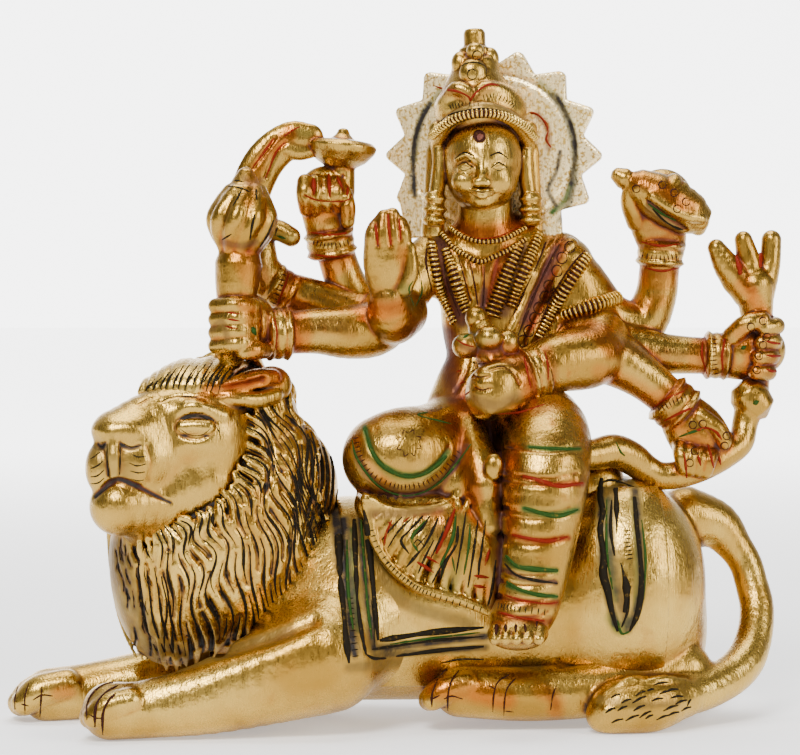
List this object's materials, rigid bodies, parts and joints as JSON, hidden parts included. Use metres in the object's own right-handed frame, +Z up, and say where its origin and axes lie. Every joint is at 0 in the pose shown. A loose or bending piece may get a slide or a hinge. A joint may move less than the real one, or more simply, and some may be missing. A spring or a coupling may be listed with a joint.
{
  "type": "cast figure",
  "caption": "Cast brass figure of an eight-armed goddess seated on a lying lion, with a toothed halo; a shelf or shrine figure that stands on the lion's feet.",
  "frame": {"origin": "centre of the bounding box, on the surface that the feet stand on", "axes": "+Z up, +X along the lion from its head to its rump, -Y towards the side that the goddess faces"},
  "size_m": [0.1712, 0.0652, 0.1525],
  "materials": {
    "brass": "satin polished, with dark, red and green colour rubbed into the grooves"
  },
  "bodies": {
    "root": {"durga_figure": "brass"}
  },
  "joints": []
}
